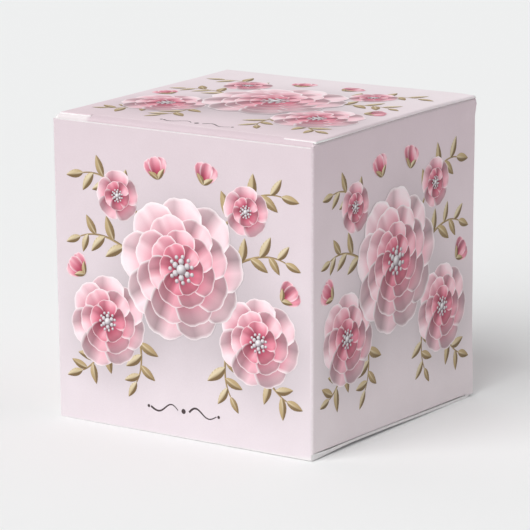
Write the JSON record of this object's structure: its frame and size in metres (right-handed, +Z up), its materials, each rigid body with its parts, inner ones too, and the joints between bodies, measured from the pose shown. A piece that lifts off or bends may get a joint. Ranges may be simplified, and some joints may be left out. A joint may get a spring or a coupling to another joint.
{
  "type": "wedding favor box",
  "caption": "Small cube folding box of printed paper board, with a hinged tuck-in lid and base over dust flaps, for wedding favors.",
  "frame": {"origin": "middle of the base's underside, on the table", "axes": "+X to the right of the front wall, +Y from front to back, +Z up"},
  "size_m": [0.0508, 0.0508, 0.0517],
  "materials": {
    "printed_board": "matte coated, printed outside",
    "white_board": "matte uncoated",
    "glue": "matte"
  },
  "bodies": {
    "tube": {"front_wall": "printed_board", "right_wall": "printed_board", "back_wall": "printed_board", "left_wall": "printed_board", "glue_flap": "white_board", "seam_glue": "glue", "front_left_fold": "printed_board", "front_right_fold": "printed_board", "back_right_fold": "printed_board", "seam_fold": "white_board", "lid_fold": "printed_board", "lid_left_dust_fold": "white_board", "lid_right_dust_fold": "white_board", "base_fold": "printed_board", "base_left_dust_fold": "white_board", "base_right_dust_fold": "white_board"},
    "lid": {"lid_panel": "printed_board", "lid_tuck_fold": "printed_board"},
    "lid_tuck": {"lid_tuck_flap": "white_board"},
    "lid_left_dust": {"lid_left_dust_flap": "white_board"},
    "lid_right_dust": {"lid_right_dust_flap": "white_board"},
    "base": {"base_panel": "printed_board", "base_tuck_fold": "printed_board"},
    "base_tuck": {"base_tuck_flap": "white_board"},
    "base_left_dust": {"base_left_dust_flap": "white_board"},
    "base_right_dust": {"base_right_dust_flap": "white_board"}
  },
  "joints": [
    {"name": "lid_hinge", "type": "hinge", "parent": "tube", "child": "lid", "pos_m": [0, 0.02517, 0.05147], "axis": [-1, 0, 0], "range_deg": [0, 180], "deforming": ["lid_fold"]},
    {"name": "lid_tuck_hinge", "type": "hinge", "parent": "lid", "child": "lid_tuck", "pos_m": [0, -0.02323, 0.05024], "axis": [-1, 0, 0], "range_deg": [0, 90], "deforming": ["lid_tuck_fold"]},
    {"name": "lid_left_dust_hinge", "type": "hinge", "parent": "tube", "child": "lid_left_dust", "pos_m": [-0.02517, 0, 0.05091], "axis": [0, -1, 0], "range_deg": [0, 90], "deforming": ["lid_left_dust_fold"]},
    {"name": "lid_right_dust_hinge", "type": "hinge", "parent": "tube", "child": "lid_right_dust", "pos_m": [0.02517, 0, 0.05091], "axis": [0, 1, 0], "range_deg": [0, 90], "deforming": ["lid_right_dust_fold"]},
    {"name": "base_hinge", "type": "hinge", "parent": "tube", "child": "base", "pos_m": [0, -0.02517, 0.00023], "axis": [-1, 0, 0], "range_deg": [0, 180], "deforming": ["base_fold"]},
    {"name": "base_tuck_hinge", "type": "hinge", "parent": "base", "child": "base_tuck", "pos_m": [0, 0.02323, 0.00146], "axis": [-1, 0, 0], "range_deg": [0, 90], "deforming": ["base_tuck_fold"]},
    {"name": "base_left_dust_hinge", "type": "hinge", "parent": "tube", "child": "base_left_dust", "pos_m": [-0.02517, 0, 0.00079], "axis": [0, 1, 0], "range_deg": [0, 90], "deforming": ["base_left_dust_fold"]},
    {"name": "base_right_dust_hinge", "type": "hinge", "parent": "tube", "child": "base_right_dust", "pos_m": [0.02517, 0, 0.00079], "axis": [0, -1, 0], "range_deg": [0, 90], "deforming": ["base_right_dust_fold"]}
  ],
  "couplings": [
    {"joint": "lid_tuck_hinge", "follows": "lid_hinge", "ratio": 0.5},
    {"joint": "lid_left_dust_hinge", "follows": "lid_hinge", "ratio": 0.5},
    {"joint": "lid_right_dust_hinge", "follows": "lid_hinge", "ratio": 0.5},
    {"joint": "base_tuck_hinge", "follows": "base_hinge", "ratio": 0.5},
    {"joint": "base_left_dust_hinge", "follows": "base_hinge", "ratio": 0.5},
    {"joint": "base_right_dust_hinge", "follows": "base_hinge", "ratio": 0.5}
  ]
}
